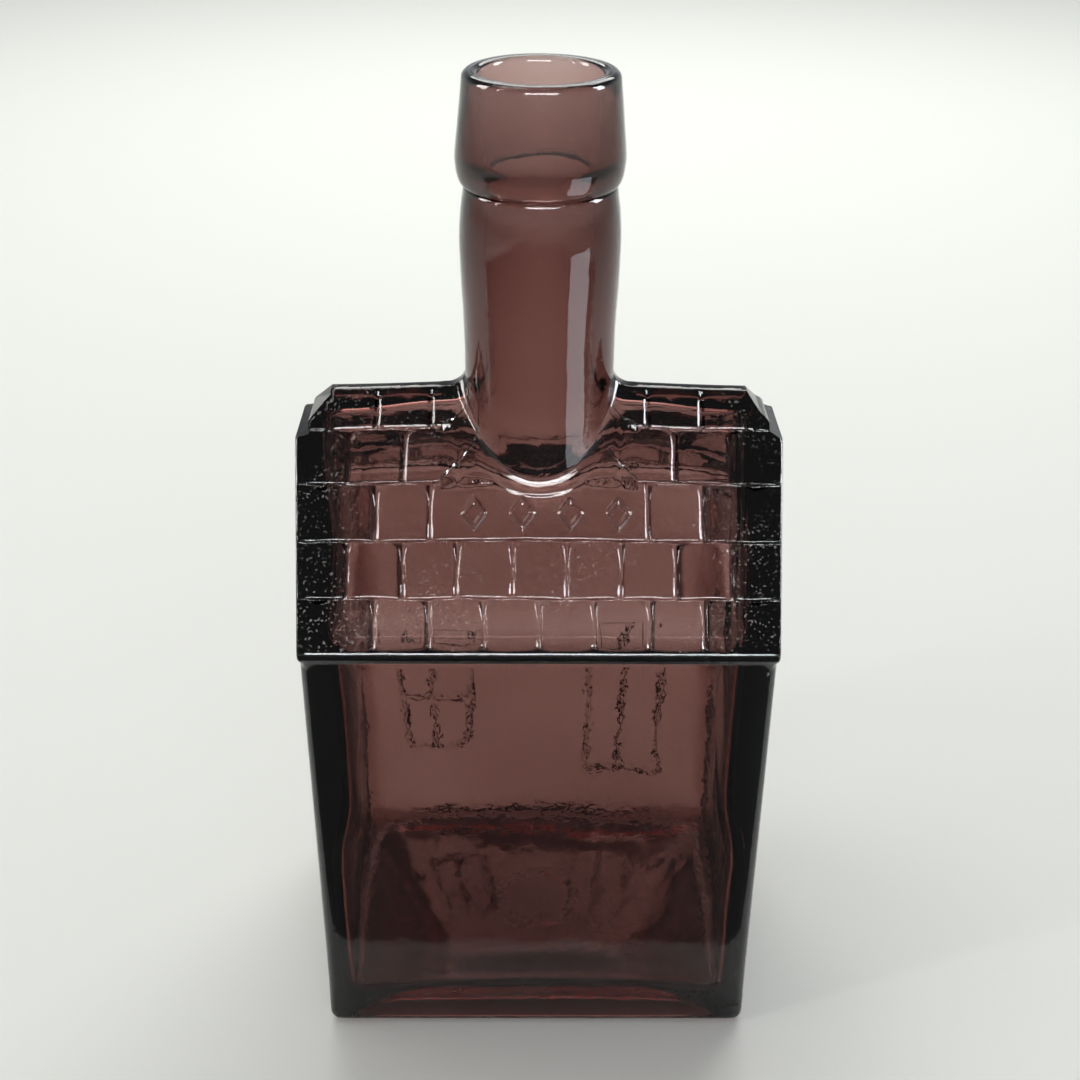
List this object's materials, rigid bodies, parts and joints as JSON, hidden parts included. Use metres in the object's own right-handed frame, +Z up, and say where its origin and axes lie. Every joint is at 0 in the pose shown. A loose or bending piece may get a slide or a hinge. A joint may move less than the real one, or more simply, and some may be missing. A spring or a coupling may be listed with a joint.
{
  "type": "glass bottle",
  "caption": "Mould-blown glass flask shaped as a cabin, with a shingled roof, bevelled ridge ends, a round neck with an applied collar, and a pushed-up foot.",
  "frame": {"origin": "middle of the foot, on the surface that the flask stands on", "axes": "+Z up along the neck, +X along the ridge of the roof, front of the cabin towards -Y"},
  "size_m": [0.0944, 0.0722, 0.197],
  "materials": {
    "flask_glass": "glossy",
    "collar_glass": "glossy",
    "scar_glass": "rough broken glass"
  },
  "bodies": {
    "root": {"flask_body": "flask_glass", "applied_collar": "collar_glass", "pontil_scar": "scar_glass"}
  },
  "joints": []
}
